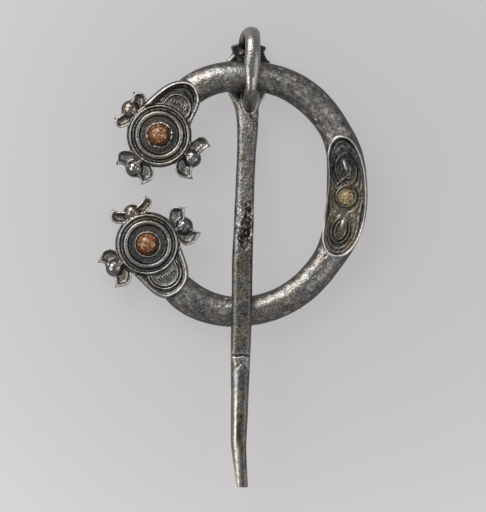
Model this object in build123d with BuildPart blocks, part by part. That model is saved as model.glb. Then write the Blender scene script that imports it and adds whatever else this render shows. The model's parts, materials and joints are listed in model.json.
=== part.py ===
from build123d import *
import os
from math import asin, atan, atan2, cos, degrees, hypot, radians, sin, tan

# A penannular brooch of cast silver, lying face up. The hoop's own plane holds its centre line,
# with the terminals on the left, the side panel on the right and the pin pointing down.
# Lengths are millimetres, angles degrees, counted from the right and anticlockwise.

# Hoop and bar
hoop_diameter = 60.0
bar_width = 6.8
bar_height = 6.7

# Terminals
disc_radius = 7.3
terminal_back = 2.3
terminal_draft = 0.9
rim_height = 3.3
rim_width = 0.4
tongue_floor = 1.75
tongue_half_width = 5.5
ledge_height = 1.9
dish_floor = 1.35
edge_slope = 0.45
outer_ridge_radius = 6.55
outer_ridge_width = 0.75
outer_ridge_rise = 0.65
inner_ridge_radius = 4.95
inner_ridge_width = 1.4
inner_ridge_rise = 1.05
collar_width = 0.45
collar_rise = 0.65

# Studs
amber_radius = 2.45
amber_crown = 1.9
pale_stud_radius = 1.9
pale_stud_crown = 0.75
stud_seat_depth = 0.5
stud_skirt = 0.9
stud_gap = 0.1

# Raised work in the tongues
band_rise = 0.6
band_width = 0.32
ribbed_band_radius = 8.3
ribbed_band_width = 0.85
rib_step = 4.3
rib_width = 0.27

# Beast heads
head_reach = 9.1
snout_radius = 2.0
snout_undercut = 0.2
snout_level = 0.55
ear_spread = 3.65
ear_length = 11.45
ear_tip = 0.62
ear_back = 1.5
ear_height = 1.7
ear_hollow = 0.7
ear_rim = 0.38
ear_curl = 0.2
brow_width = 0.7
brow_length = 2.8
brow_level = 2.15

# Side panel
panel_floor = 1.75
panel_loop_width = 0.32
pellet_radius = 0.6
pellet_length = 2.4

# Pin
pin_angle = 85.4
pin_lean = 1.9
pin_length = 92.4
shaft_width = 4.5
shaft_thickness = 3.1
shaft_corner = 0.42
bow_drop = 3.0
running_gap = 0.55
rest_gap = 0.25
plate_length = 14.6
plate_width = 9.5
plate_thickness = 1.7
plate_tilt = 4.0
plate_shift = -0.45
knob_radius = 0.55
strand_width = 3.5
strand_thickness = 2.5
loop_slack = 4.55

# Along the head in shares of ear_length and across it in shares of ear_spread: where the ear
# leaves the disc, and its widest place for an ear of no spread and for each unit of spread.
ear_root = (0.59, 0.86)
ear_bulge = (0.775, 0.50, 0.70)

# Angle, centre line in shares of the hoop's radius, width in shares of bar_width, height in
# shares of bar_height.
bar_sections = [
    (125, 0.795, 0.90, 0.80),
    (117, 0.832, 1.04, 0.90),
    (108, 0.851, 1.02, 0.96),
    (96, 0.858, 1.00, 1.00),
    (84, 0.860, 1.00, 1.00),
    (70, 0.868, 1.01, 1.00),
    (55, 0.863, 1.05, 1.00),
    (42, 0.851, 1.03, 0.98),
    (30, 0.838, 1.05, 0.93),
    (20, 0.824, 1.20, 0.90),
    (8, 0.804, 1.32, 0.90),
    (-4, 0.801, 1.36, 0.90),
    (-16, 0.814, 1.31, 0.90),
    (-27, 0.821, 1.20, 0.92),
    (-37, 0.831, 1.05, 0.96),
    (-50, 0.853, 1.01, 1.00),
    (-64, 0.879, 0.99, 1.00),
    (-78, 0.898, 0.98, 1.00),
    (-92, 0.909, 1.00, 1.00),
    (-105, 0.906, 1.06, 0.98),
    (-116, 0.889, 1.12, 0.93),
    (-126, 0.862, 1.02, 0.80),
]

# Along in shares of the tongue's length, across in shares of tongue_half_width, from the outer
# side of the brooch round the tongue's end to its inner side.
upper_tongue_rim = [
    (0.26, 1.13),
    (0.71, 0.82),
    (0.91, 0.49),
    (1.00, 0.04),
    (0.95, -0.31),
    (0.85, -0.54),
    (0.60, -0.69),
    (0.36, -0.80),
]
lower_tongue_rim = [
    (0.20, 1.11),
    (0.38, 0.99),
    (0.64, 0.84),
    (0.86, 0.65),
    (0.97, 0.41),
    (1.00, 0.05),
    (0.96, -0.33),
    (0.87, -0.62),
    (0.56, -0.91),
    (0.32, -1.01),
]

# Turn from the tongue's axis towards the outside of the brooch, reach in shares of head_reach,
# then for the clockwise and the anticlockwise ear its length in shares of ear_length and its
# spread in shares of ear_spread.
upper_heads = [
    (81.4, 0.96, 0.98, 0.91, 0.92, 1.06),
    (176.6, 1.03, 1.00, 1.07, 1.03, 0.96),
    (-92.7, 1.01, 1.08, 1.03, 0.99, 1.30),
]
lower_heads = [
    (85.6, 1.00, 1.04, 0.88, 1.06, 0.99),
    (184.5, 0.86, 0.92, 1.20, 0.97, 1.05),
    (-85.6, 1.01, 1.09, 0.84, 1.03, 0.99),
]

# Name, disc angle, disc centre in shares of the hoop's radius, direction of the tongue, length of
# the tongue in shares of the hoop's radius, side of the brooch's outside, rim, heads, the radii of
# the arches over the ribbed band in shares of tongue_half_width, and the number of ribs.
terminals = [
    ("upper", 145.6, 0.737, 57.0, 0.444, 1, upper_tongue_rim, upper_heads, (0.58,), 7),
    ("lower", 210.1, 0.803, -59.0, 0.416, -1, lower_tongue_rim, lower_heads, (0.58, 0.71), 8),
]

# Angle and distance in shares of the hoop's radius.
panel_rim = [
    (26.3, 0.750),
    (28.6, 0.825),
    (26.6, 0.887),
    (21.0, 0.924),
    (10.0, 0.937),
    (-5.0, 0.942),
    (-16.0, 0.951),
    (-25.0, 0.947),
    (-32.5, 0.905),
    (-35.2, 0.820),
    (-32.0, 0.735),
    (-24.0, 0.684),
    (-4.0, 0.658),
    (14.0, 0.686),
]
panel_stud_place = (-3.2, 0.793)

# Angle, distance and half length in shares of the hoop's radius, half width in shares of
# bar_width, and the lean of the loop.
panel_loops = [
    (11.0, 0.806, 0.118, 0.36, 3.0),
    (11.2, 0.806, 0.074, 0.165, 3.0),
    (-21.8, 0.805, 0.103, 0.32, 6.0),
    (-21.4, 0.806, 0.078, 0.20, 6.0),
]
# Angle and distance in shares of the hoop's radius.
panel_pellets = [(13.4, 0.806), (-17.6, 0.803)]
panel_scroll = [(13.0, 0.846), (9.3, 0.832), (6.4, 0.776), (3.2, 0.725)]

# Distance below the hinge in shares of pin_length, shift to the right in shares of shaft_width,
# width in shares of shaft_width, thickness in shares of shaft_thickness.
shaft_sections = [
    (0.040, -0.10, 1.12, 0.56),
    (0.060, -0.10, 1.20, 0.80),
    (0.085, -0.06, 1.19, 1.00),
    (0.125, 0.00, 1.06, 1.03),
    (0.185, -0.03, 0.95, 1.00),
    (0.265, -0.05, 0.94, 1.00),
    (0.350, -0.04, 0.99, 1.00),
    (0.450, -0.055, 1.04, 0.98),
    (0.550, -0.005, 1.02, 0.95),
    (0.640, 0.005, 1.03, 0.93),
    (0.740, 0.03, 0.91, 0.90),
    (0.830, 0.055, 0.85, 0.84),
    (0.895, 0.05, 0.78, 0.76),
    (0.945, 0.175, 0.66, 0.68),
    (1.000, 0.325, 0.57, 0.60),
]

# Angle round the bar from the top of the brooch to the front, distance off the bar in shares of
# loop_slack, shift to the right, width and thickness in shares of the strand's own.
loop_sections = [
    (-43, 0.44, -0.22, 1.05, 0.70),
    (-30, 0.74, -0.26, 1.00, 0.90),
    (-15, 0.92, -0.19, 0.98, 1.00),
    (0, 1.00, 0.01, 1.00, 1.06),
    (16, 0.93, 0.11, 1.00, 1.04),
    (32, 0.72, 0.15, 0.97, 1.00),
    (54, 0.31, 0.155, 1.03, 1.00),
    (90, 0.06, 0.14, 0.92, 1.00),
    (122, 0.08, 0.135, 0.87, 1.00),
    (150, 0.14, 0.11, 0.96, 1.00),
    (176, 0.25, 0.09, 1.02, 0.96),
    (196, 0.45, 0.08, 0.98, 0.90),
    (208, 0.66, 0.07, 0.85, 0.80),
]

# Along in shares of half plate_length and across in shares of half plate_width.
plate_outline = [
    (1.03, 0.52),
    (0.93, 0.72),
    (0.76, 0.76),
    (0.50, 0.96),
    (0.00, 1.00),
    (-0.50, 0.89),
    (-0.80, 0.65),
    (-0.98, 0.56),
]
plate_knobs = [(0.91, 0.72), (0.47, 0.94)]

hoop_radius = hoop_diameter / 2


def bar_at(angle):
    """The bar at an angle: centre line radius, half width and half height, from the table."""
    for above, below in zip(bar_sections, bar_sections[1:]):
        if below[0] <= angle <= above[0]:
            share = (above[0] - angle) / (above[0] - below[0])
            radius, width, height = (a + (b - a) * share for a, b in zip(above[1:], below[1:]))
            return radius * hoop_radius, width * bar_width / 2, height * bar_height / 2
    raise ValueError("no bar at this angle")


# The hinge is where the pin's loop turns on the bar, and the crossing is where its shaft passes
# in front of the bar on the far side of the hoop.
hinge_radius, hinge_half_width, hinge_half_height = bar_at(pin_angle)
hinge_x = hinge_radius * cos(radians(pin_angle))
hinge_y = hinge_radius * sin(radians(pin_angle))
crossing_radius, _, crossing_half_height = bar_at(-90)
crossing = (hinge_y + crossing_radius) / cos(radians(pin_lean))
bore_radius = max(hinge_half_width, hinge_half_height) + running_gap
plate_back = bore_radius + plate_thickness
half_plate = plate_length / 2
start_level = half_plate * tan(radians(plate_tilt)) - plate_back / cos(radians(plate_tilt))
climb = atan((crossing_half_height + rest_gap - start_level) / (crossing - half_plate))

# The brooch lies on the pin's head at the top and on the bar at the bottom, so the hoop leans.
tilt_cos, tilt_sin = cos(radians(plate_tilt)), sin(radians(plate_tilt))
head_y = hinge_y + crossing_radius + half_plate * tilt_cos - plate_back * tilt_sin
head_z = plate_back * tilt_cos + half_plate * tilt_sin
rest_tilt = degrees(atan2(head_z, head_y) - asin(crossing_half_height / hypot(head_y, head_z)))
face = Location((0, 0, 0), (rest_tilt, 0, 0))


def seat(x=0.0, y=0.0, z=0.0, turn=0.0, lean=0.0):
    """A work plane placed in the hoop's own plane, turned about its normal, then leaned back."""
    return Plane(face * Location((x, y, z), (0, 0, turn)) * Location((0, 0, 0), (lean, 0, 0)))


def pin_seat(across, along, level, lean=0.0):
    """A work plane in the pin's own directions, counted from the hinge."""
    here = Location((across, along, level)) * Location((0, 0, 0), (lean, 0, 0))
    return Plane(seat(hinge_x, hinge_y, 0, -pin_lean).location * here)


def normal(plane):
    """The axis that stands on a work plane at its origin."""
    return Axis(plane.origin, plane.z_dir)


def around(angle, share):
    """The point at an angle and a share of the hoop's radius."""
    return (
        share * hoop_radius * cos(radians(angle)),
        share * hoop_radius * sin(radians(angle)),
    )


def grown(points, amount, closed):
    """The points of an anticlockwise outline moved outwards, each along its own normal."""
    moved = []
    for i, (x, y) in enumerate(points):
        before = points[i - 1] if closed or i > 0 else points[i]
        after = points[(i + 1) % len(points)] if closed or i + 1 < len(points) else points[i]
        along_x, along_y = after[0] - before[0], after[1] - before[1]
        length = hypot(along_x, along_y)
        moved.append((x + amount * along_y / length, y - amount * along_x / length))
    return moved


def tongue_face(rim, length, side, amount):
    """The outline of a tongue in its disc's own plane, grown by an amount."""
    points = [(along * length, side * across * tongue_half_width) for along, across in rim]
    if side > 0:
        points.reverse()
    points = grown(points, amount, False)
    with BuildSketch() as face_sketch:
        with BuildLine():
            Spline(*points)
            Line(points[-1], points[0])
        make_face()
    return face_sketch.sketch


def panel_face(amount):
    """The outline of the side panel in the hoop's plane, grown by an amount."""
    points = [around(angle, share) for angle, share in reversed(panel_rim)]
    points = grown(points, amount, True)
    with BuildSketch() as face_sketch:
        with BuildLine():
            Spline(*points, periodic=True)
        make_face()
    return face_sketch.sketch


def ear_face(length, spread, side, reach):
    """One ear of a beast head: a leaf from the disc's edge to its tip, filled in to the snout."""
    tip = (length * ear_length, side * spread * ear_spread)
    root = (ear_root[0] * ear_length, side * ear_root[1] * ear_spread)
    widest = ear_bulge[1] + ear_bulge[2] * spread
    bulge = (ear_bulge[0] * ear_length, side * widest * ear_spread)
    snout = (reach * head_reach, -side * brow_width / 4)
    inner = ((tip[0] + snout[0]) / 2 - ear_curl, (tip[1] + snout[1]) / 2 + side * ear_curl / 2)
    neck = (root[0], snout[1])
    with BuildSketch() as face_sketch:
        with BuildLine():
            ThreePointArc(root, bulge, tip)
            ThreePointArc(tip, inner, snout)
            Polyline(snout, neck, root)
        make_face()
        fillet(vertices().sort_by(Axis.X)[-1], ear_tip)
    return face_sketch.sketch


def dome_radius(radius, crown):
    """The radius of the sphere whose cap has this radius and crown."""
    return (radius**2 + crown**2) / (2 * crown)


def ring_face(outer, width):
    """A flat ring, given by its outer radius and the width of its metal."""
    with BuildSketch() as face_sketch:
        Circle(outer)
        Circle(outer - width, mode=Mode.SUBTRACT)
    return face_sketch.sketch


def underside(distance):
    """The level of the pin's back at a distance below the hinge."""
    if distance < half_plate:
        return start_level - (half_plate - distance) * tan(radians(plate_tilt))
    beyond = max(0, distance - crossing) / (pin_length - crossing)
    return start_level + (distance - half_plate) * tan(climb) - bow_drop * beyond**2


def loop_centre(angle, slack, thickness):
    """Where the loop's strand runs, along the pin and in level, at an angle round the bar."""
    distance = bore_radius + thickness * strand_thickness / 2 + slack * loop_slack
    return distance * cos(radians(angle)), distance * sin(radians(angle))


panel_stud_x, panel_stud_y = around(*panel_stud_place)
amber_socket = amber_radius + stud_gap
pale_socket = pale_stud_radius + stud_gap

with BuildPart() as hoop:
    for angle, radius, width, height in bar_sections:
        x, y = around(angle, radius)
        with BuildSketch(seat(x, y, 0, angle, 90)):
            Ellipse(width * bar_width / 2, height * bar_height / 2)
    loft()

    # Bodies of the two terminals, with a rounded flank from the back to the rim
    for name, angle, share, direction, length, side, rim, heads, arches, ribs in terminals:
        x, y = around(angle, share)
        for level, spread in (
            (-terminal_back, -terminal_draft),
            (0, terminal_draft / 2),
            (rim_height, rim_width / 2),
        ):
            with BuildSketch(seat(x, y, level, direction)):
                add(tongue_face(rim, length * hoop_radius, side, spread))
        loft()
        with BuildSketch(seat(x, y, 0, direction, 90)):
            with BuildLine():
                foot = (disc_radius - terminal_draft, -terminal_back)
                flank = (disc_radius - terminal_draft / 4, -terminal_back / 2)
                Polyline((disc_radius, 0), (disc_radius, ledge_height - edge_slope),
                         (disc_radius - edge_slope, ledge_height), (0, ledge_height),
                         (0, -terminal_back), foot)
                ThreePointArc(foot, flank, (disc_radius, 0))
            make_face()
        revolve(axis=normal(seat(x, y)))

    # Body of the side panel, and the ears of the six heads
    with BuildSketch(seat(z=rim_height)):
        add(panel_face(rim_width / 2))
    extrude(amount=-rim_height)
    for name, angle, share, direction, length, side, rim, heads, arches, ribs in terminals:
        x, y = around(angle, share)
        for turn, reach, *ears in heads:
            for ear_side, ear_size in ((-1, ears[:2]), (1, ears[2:])):
                with BuildSketch(seat(x, y, -ear_back, direction + side * turn)):
                    add(ear_face(*ear_size, ear_side, reach))
    extrude(amount=ear_back + ear_height)

    # Sunk fields of the panel and the tongues, then the hollows of the ears, then the discs
    with BuildSketch(seat(z=panel_floor)):
        add(panel_face(-rim_width / 2))
    for name, angle, share, direction, length, side, rim, heads, arches, ribs in terminals:
        x, y = around(angle, share)
        with BuildSketch(seat(x, y, tongue_floor, direction)):
            add(tongue_face(rim, length * hoop_radius, side, -rim_width / 2))
            Circle(disc_radius, mode=Mode.SUBTRACT)
    extrude(amount=rim_height, mode=Mode.SUBTRACT)
    for name, angle, share, direction, length, side, rim, heads, arches, ribs in terminals:
        x, y = around(angle, share)
        for turn, reach, *ears in heads:
            for ear_side, ear_size in ((-1, ears[:2]), (1, ears[2:])):
                with BuildSketch(seat(x, y, ear_height - ear_hollow, direction + side * turn)):
                    offset(ear_face(*ear_size, ear_side, reach), -ear_rim)
                    Circle(disc_radius + ear_rim, mode=Mode.SUBTRACT)
    extrude(amount=rim_height, mode=Mode.SUBTRACT)
    for name, angle, share, direction, length, side, rim, heads, arches, ribs in terminals:
        x, y = around(angle, share)
        with BuildSketch(seat(x, y, ledge_height)):
            Circle(disc_radius + rim_width / 4)
    extrude(amount=rim_height, mode=Mode.SUBTRACT)
    for name, angle, share, direction, length, side, rim, heads, arches, ribs in terminals:
        x, y = around(angle, share)
        with BuildSketch(seat(x, y, dish_floor)):
            Circle(inner_ridge_radius)
    extrude(amount=rim_height, mode=Mode.SUBTRACT)

    # Ridges round the discs
    for name, angle, share, direction, length, side, rim, heads, arches, ribs in terminals:
        x, y = around(angle, share)
        with BuildSketch(seat(x, y, 0, direction, 90)):
            with Locations((outer_ridge_radius, ledge_height)):
                Ellipse(outer_ridge_width / 2, outer_ridge_rise)
            with Locations((inner_ridge_radius, ledge_height)):
                Ellipse(inner_ridge_width / 2, inner_ridge_rise)
        revolve(axis=normal(seat(x, y)))

    # Snouts, and the brows that tie the heads to the discs
    snouts = []
    for name, angle, share, direction, length, side, rim, heads, arches, ribs in terminals:
        x, y = around(angle, share)
        for turn, reach, *ears in heads:
            head = direction + side * turn
            out_x = x + reach * head_reach * cos(radians(head))
            out_y = y + reach * head_reach * sin(radians(head))
            snouts.append(seat(out_x, out_y, snout_level, head))
            with BuildSketch(seat(out_x, out_y, snout_level, head)):
                Circle(snout_radius - snout_undercut)
            with BuildSketch(seat(x, y, brow_level, head)):
                with Locations((disc_radius, 0)):
                    SlotOverall(brow_length, brow_width)
    extrude(amount=-snout_level - ear_back / 2)
    with Locations(*snouts):
        Sphere(snout_radius)

    # Raised lines, ribbed bands, loops, pellets and collars
    for name, angle, share, direction, length, side, rim, heads, arches, ribs in terminals:
        x, y = around(angle, share)
        for arch in arches:
            with BuildSketch(seat(x, y, tongue_floor, direction)):
                with Locations((disc_radius, 0)):
                    add(ring_face(arch * tongue_half_width, band_width))
                Circle(disc_radius, mode=Mode.SUBTRACT)
        with BuildSketch(seat(x, y, tongue_floor, direction)):
            reach = (ribs - 1) * rib_step
            with PolarLocations(ribbed_band_radius, ribs, -reach / 2, reach, endpoint=True):
                Rectangle(ribbed_band_width, rib_width)
        with BuildSketch(seat(x, y, dish_floor)):
            add(ring_face(amber_socket + collar_width, collar_width))
    for angle, share, half_length, half_width, lean in panel_loops:
        x, y = around(angle, share)
        with BuildSketch(seat(x, y, panel_floor, angle + lean)):
            wide = half_width * bar_width
            long = half_length * hoop_radius
            Ellipse(wide, long)
            Ellipse(wide - panel_loop_width, long - panel_loop_width, mode=Mode.SUBTRACT)
    for angle, share in panel_pellets:
        x, y = around(angle, share)
        with BuildSketch(seat(x, y, panel_floor, angle)):
            SlotOverall(pellet_length, 2 * pellet_radius, rotation=90)
    with BuildSketch(seat(z=panel_floor)):
        with BuildLine():
            Spline(*[around(*point) for point in panel_scroll])
        trace(line_width=panel_loop_width)
    extrude(amount=band_rise)
    with BuildSketch(seat(panel_stud_x, panel_stud_y, panel_floor)):
        Circle(pale_socket + collar_width)
    extrude(amount=collar_rise)

    # Sockets for the three studs
    for name, angle, share, *rest in terminals:
        with BuildSketch(seat(*around(angle, share), dish_floor - stud_seat_depth)):
            Circle(amber_socket)
    with BuildSketch(seat(panel_stud_x, panel_stud_y, panel_floor - stud_seat_depth)):
        Circle(pale_socket)
    extrude(amount=rim_height, mode=Mode.SUBTRACT)

hoop.part.label = "hoop"
os.makedirs("parts", exist_ok=True)
export_step(hoop.part, "parts/hoop.step")

upper_x, upper_y = around(*terminals[0][1:3])
lower_x, lower_y = around(*terminals[1][1:3])
amber_sphere = dome_radius(amber_radius, amber_crown)
amber_seat = dish_floor - stud_seat_depth + stud_gap
amber_height = stud_skirt + amber_crown

with BuildPart() as upper_stud:
    with BuildSketch(seat(upper_x, upper_y, amber_seat)):
        Circle(amber_radius)
    extrude(amount=amber_height)
    with Locations(seat(upper_x, upper_y, amber_seat + amber_height - amber_sphere)):
        Sphere(amber_sphere, mode=Mode.INTERSECT)
upper_stud.part.label = "upper_stud"
export_step(upper_stud.part, "parts/upper_stud.step")

with BuildPart() as lower_stud:
    with BuildSketch(seat(lower_x, lower_y, amber_seat)):
        Circle(amber_radius)
    extrude(amount=amber_height)
    with Locations(seat(lower_x, lower_y, amber_seat + amber_height - amber_sphere)):
        Sphere(amber_sphere, mode=Mode.INTERSECT)
lower_stud.part.label = "lower_stud"
export_step(lower_stud.part, "parts/lower_stud.step")

pale_sphere = dome_radius(pale_stud_radius, pale_stud_crown)
pale_seat = panel_floor - stud_seat_depth + stud_gap
pale_height = stud_skirt + pale_stud_crown

with BuildPart() as panel_stud:
    with BuildSketch(seat(panel_stud_x, panel_stud_y, pale_seat)):
        Circle(pale_stud_radius)
    extrude(amount=pale_height)
    with Locations(seat(panel_stud_x, panel_stud_y, pale_seat + pale_height - pale_sphere)):
        Sphere(pale_sphere, mode=Mode.INTERSECT)
panel_stud.part.label = "panel_stud"
export_step(panel_stud.part, "parts/panel_stud.step")

with BuildPart() as pin:
    for distance, shift, width, thickness in shaft_sections:
        below = distance * pin_length
        wide = width * shaft_width
        thick = thickness * shaft_thickness
        level = underside(below) + thick / 2
        with BuildSketch(pin_seat(shift * shaft_width, -below, level, 90)):
            RectangleRounded(wide, thick, shaft_corner * thick)
    loft(ruled=True)

    # Head plate behind the bar, with small knobs on its edge
    plate_plane = pin_seat(plate_shift, -plate_back * tilt_sin, -plate_back * tilt_cos, -plate_tilt)
    right_side = [(across * plate_width / 2, along * plate_length / 2)
                  for along, across in plate_outline]
    left_side = [(-across, along) for across, along in reversed(right_side)]
    with BuildSketch(plate_plane):
        with BuildLine():
            Line(left_side[-1], right_side[0])
            Spline(*right_side)
            Line(right_side[-1], left_side[0])
            Spline(*left_side)
        make_face()
        with Locations(*[(side * across * plate_width / 2, along * plate_length / 2)
                         for along, across in plate_knobs for side in (-1, 1)]):
            Circle(knob_radius)
    extrude(amount=plate_thickness)

    # Loop over the bar, from the head plate to its foot on the shaft
    centres = [loop_centre(angle, slack, thickness)
               for angle, slack, shift, width, thickness in loop_sections]
    for i, (angle, slack, shift, width, thickness) in enumerate(loop_sections):
        before = centres[max(i - 1, 0)]
        after = centres[min(i + 1, len(centres) - 1)]
        lean = degrees(atan2(before[0] - after[0], after[1] - before[1]))
        with BuildSketch(pin_seat(shift * strand_width, *centres[i], lean)):
            Ellipse(width * strand_width / 2, thickness * strand_thickness / 2)
    loft()
pin.part.label = "pin"
export_step(pin.part, "parts/pin.step")
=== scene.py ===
import json
import math

import bmesh
import bpy
import numpy as np
from mathutils import Matrix, Vector


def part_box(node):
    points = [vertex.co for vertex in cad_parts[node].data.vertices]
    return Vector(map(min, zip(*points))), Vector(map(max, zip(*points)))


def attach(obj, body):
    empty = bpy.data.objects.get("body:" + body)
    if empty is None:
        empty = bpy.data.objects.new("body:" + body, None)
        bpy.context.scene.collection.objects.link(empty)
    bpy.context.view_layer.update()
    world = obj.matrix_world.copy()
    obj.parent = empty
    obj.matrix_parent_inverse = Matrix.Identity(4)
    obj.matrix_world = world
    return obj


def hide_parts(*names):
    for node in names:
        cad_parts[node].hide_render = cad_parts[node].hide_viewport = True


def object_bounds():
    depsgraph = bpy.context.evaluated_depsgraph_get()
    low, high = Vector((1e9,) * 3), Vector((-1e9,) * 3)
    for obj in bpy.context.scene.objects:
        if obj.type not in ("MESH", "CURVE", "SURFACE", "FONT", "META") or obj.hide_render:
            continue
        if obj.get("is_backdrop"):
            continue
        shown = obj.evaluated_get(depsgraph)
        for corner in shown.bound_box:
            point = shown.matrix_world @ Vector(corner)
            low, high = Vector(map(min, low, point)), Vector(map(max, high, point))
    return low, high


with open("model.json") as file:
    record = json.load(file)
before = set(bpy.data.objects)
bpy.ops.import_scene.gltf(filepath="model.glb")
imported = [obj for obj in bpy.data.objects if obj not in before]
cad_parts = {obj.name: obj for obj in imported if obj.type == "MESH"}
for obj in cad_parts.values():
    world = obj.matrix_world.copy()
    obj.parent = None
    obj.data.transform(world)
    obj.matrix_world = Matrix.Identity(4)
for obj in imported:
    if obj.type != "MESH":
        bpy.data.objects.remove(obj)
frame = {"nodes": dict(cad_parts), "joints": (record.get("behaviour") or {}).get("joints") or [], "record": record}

bl_info = {
    "name": "Penannular brooch",
    "version": (1, 0, 0),
    "blender": (4, 5, 0),
    "location": "3D View > Sidebar > Brooch",
    "description": "Dresses the cast silver hoop, its pin and its amber studs for a studio picture",
    "category": "Object",
}

MM = 0.001

# The hoop leans back a little, so its relief is worked in its own plane, in millimetres, with the
# third direction out of the face.
FACE_UP = Vector(frame["record"]["mounts"][0]["axis"]).normalized()
HOOP_WAYS = np.array([(1, 0, 0), FACE_UP.cross(Vector((1, 0, 0))), FACE_UP])
HOOP_PLACE = np.zeros(3)

# The pin's own directions: across the shaft, along it towards the head, and out of the face.
SWING = frame["joints"][0]
PIN_ACROSS = -Vector(SWING["axis"]).normalized()
PIN_WAYS = np.array([PIN_ACROSS, FACE_UP.cross(PIN_ACROSS), FACE_UP])
PIN_PLACE = np.array(SWING["pos_m"]) / MM

# Each terminal has the direction of its tongue, the side of the brooch's outside, the tongue's
# length, the radius of its outer arch, how deep its far end is sunk, how many lines run round it,
# and its heads. A head has its direction and reach, then for the clockwise and the anticlockwise
# ear its length and its spread, then the places of its eyes along and across the head. Lengths are
# millimetres in the hoop's plane, ears are shares of EAR_LENGTH and EAR_SPREAD.
TERMINALS = {
    "upper_stud": (57.0, 1, 13.32, 3.2, 0.55, 2, (
        (138.4, 8.74, 0.98, 0.91, 0.92, 1.06, ((8.8, 0.7),)),
        (233.6, 9.37, 1.00, 1.07, 1.03, 0.96, ((9.1, -0.78), (9.1, 0.6))),
        (-35.7, 9.19, 1.08, 1.03, 0.99, 1.30, ((8.8, 0.0),)))),
    "lower_stud": (-59.0, -1, 12.48, 3.9, 0.15, 3, (
        (-144.6, 9.10, 1.04, 0.88, 1.06, 0.99, ((9.3, -0.8), (10.2, 0.3))),
        (116.5, 7.83, 0.92, 1.20, 0.97, 1.05, ((7.8, -0.7), (7.8, 0.7))),
        (26.6, 9.19, 1.09, 0.84, 1.03, 0.99, ((9.2, 0.7),)))),
}
# Along the tongue in shares of its length and across it in shares of its half width.
TONGUE_RIMS = {
    "upper_stud": ((0.26, 1.13), (0.71, 0.82), (0.91, 0.49), (1.00, 0.04), (0.95, -0.31),
                   (0.85, -0.54), (0.60, -0.69), (0.36, -0.80)),
    "lower_stud": ((0.20, 1.11), (0.38, 0.99), (0.64, 0.84), (0.86, 0.65), (0.97, 0.41),
                   (1.00, 0.05), (0.96, -0.33), (0.87, -0.62), (0.56, -0.91), (0.32, -1.01)),
}
# Angle in degrees and distance from the hoop's centre in millimetres.
PANEL_RIM = ((26.3, 22.5), (28.6, 24.75), (26.6, 26.61), (21.0, 27.72), (10.0, 28.11),
             (-5.0, 28.26), (-16.0, 28.53), (-25.0, 28.41), (-32.5, 27.15), (-35.2, 24.6),
             (-32.0, 22.05), (-24.0, 20.52), (-4.0, 19.74), (14.0, 20.58))
# Places across and along the pin from its hinge, with the depth and half width of each cut.
CRACKS = (
    (((-2.3, -62.7), (-0.8, -62.9), (0.5, -62.7), (2.3, -62.9)), 0.42, 0.17),
    (((-1.6, -66.1), (-0.6, -65.3), (0.35, -64.4), (1.2, -65.4), (2.1, -66.5)), 0.34, 0.18),
    (((0.85, -65.8), (1.45, -66.3)), 0.25, 0.15),
)
# The two raised edges of the loop's foot, then the streaks of painted highlight: two on the loop,
# one on the shoulder of the shaft and one on the head plate's edge. The foot's edges get a painted
# highlight too.
FOOT_EDGES = (
    ((-1.67, -4.1), (-1.61, -5.6), (-1.22, -7.2), (-0.75, -8.1), (-0.45, -8.4)),
    ((2.15, -3.9), (2.21, -5.5), (1.70, -7.1), (1.28, -8.0), (0.95, -8.4)),
)
PAINTED_GLINTS = (
    ((-0.17, -0.3), (-0.12, -1.6), (-0.10, -2.9)),
    ((0.84, -0.4), (0.86, -1.6), (0.88, -2.9)),
    ((-4.4, -3.9), (-3.5, -5.0), (-2.7, -6.1), (-2.0, -7.0)),
    ((-4.9, 3.3), (-4.2, 3.9), (-3.7, 4.6)),
)
# Distances down the shaft from the hinge, then the place and the width of the painted highlight
# along the left edge at each of them.
LEFT_EDGE_HIGHLIGHT = (
    (64, 73, 82, 84, 88.5, 92.5),
    (-1.11, -0.85, -0.55, -0.1, 0.24, 0.58),
    (0.27, 0.27, 0.30, 0.45, 0.58, 0.40),
)
# The two groups of loops in the panel: angle and distance of the middle, half length, half width
# and lean. Then the angle and distance of its pellets.
PANEL_LOOPS = ((11.0, 24.2, 3.5, 2.4, 3.0), (-21.8, 24.15, 3.1, 2.2, 6.0))
PANEL_PELLETS = ((13.4, 24.2), (-17.6, 24.1))

# Sizes of the cast relief, matched to the CAD model
DISC_RADIUS = 7.3
DISH_TOP = 1.3
FIELD_FLOOR = 1.75
FIELD_TOP = 2.75
TONGUE_HALF_WIDTH = 5.5
EAR_LENGTH = 11.45
EAR_SPREAD = 3.65
EAR_ROOT = (0.59, 0.86)
EAR_BULGE = (0.775, 0.50, 0.70)
EAR_TIP = 0.62
EAR_TOP = 1.7
SNOUT_RADIUS = 2.0
SNOUT_LEVEL = 0.55

# Distance from the stud at which an ear comes free of the disc
EAR_START = 7.45

# Rough radii of the bar's ring and of an amber's collar, for marks that lie along them
BAR_RING = 26
COLLAR_RADIUS = 2.6

# Straight pieces between two points of a rounded line, and places on an arc
LINE_STEPS = 6
ARC_STEPS = 14

# Heights and depths of the fine relief that is cut here
EAR_SWELL = 0.5
EAR_BOWL = 0.75
EAR_LIP = 0.14
EAR_RIDGE = 0.07
NECK_GROOVE = 0.22
EYE_RING = 0.09
TONGUE_LINE = 0.13
PANEL_LINE = 0.12
PANEL_GRIT = 0.16
PELLET_RISE = 0.55
FOOT_RISE = 0.42
RIPPLE_RISE = 0.012
RIPPLE_SPACING = 0.85
BEVEL_DROP = 0.8
ROUGH_RISE = 0.13
CRACK_STEP = 0.12
HOOP_SWELL = 0.035
PIN_SWELL = 0.05
FINE_SWELL = 0.022
DENT_DEPTH = 0.09

# Where, from the left, the plain bar starts beside the terminals
BAR_START = (-15.5, -12.5)

# Places down the shaft from the hinge
LOWER_CRACK = 63.5
TIP_BEND = 82
TIP_END = 92
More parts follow.
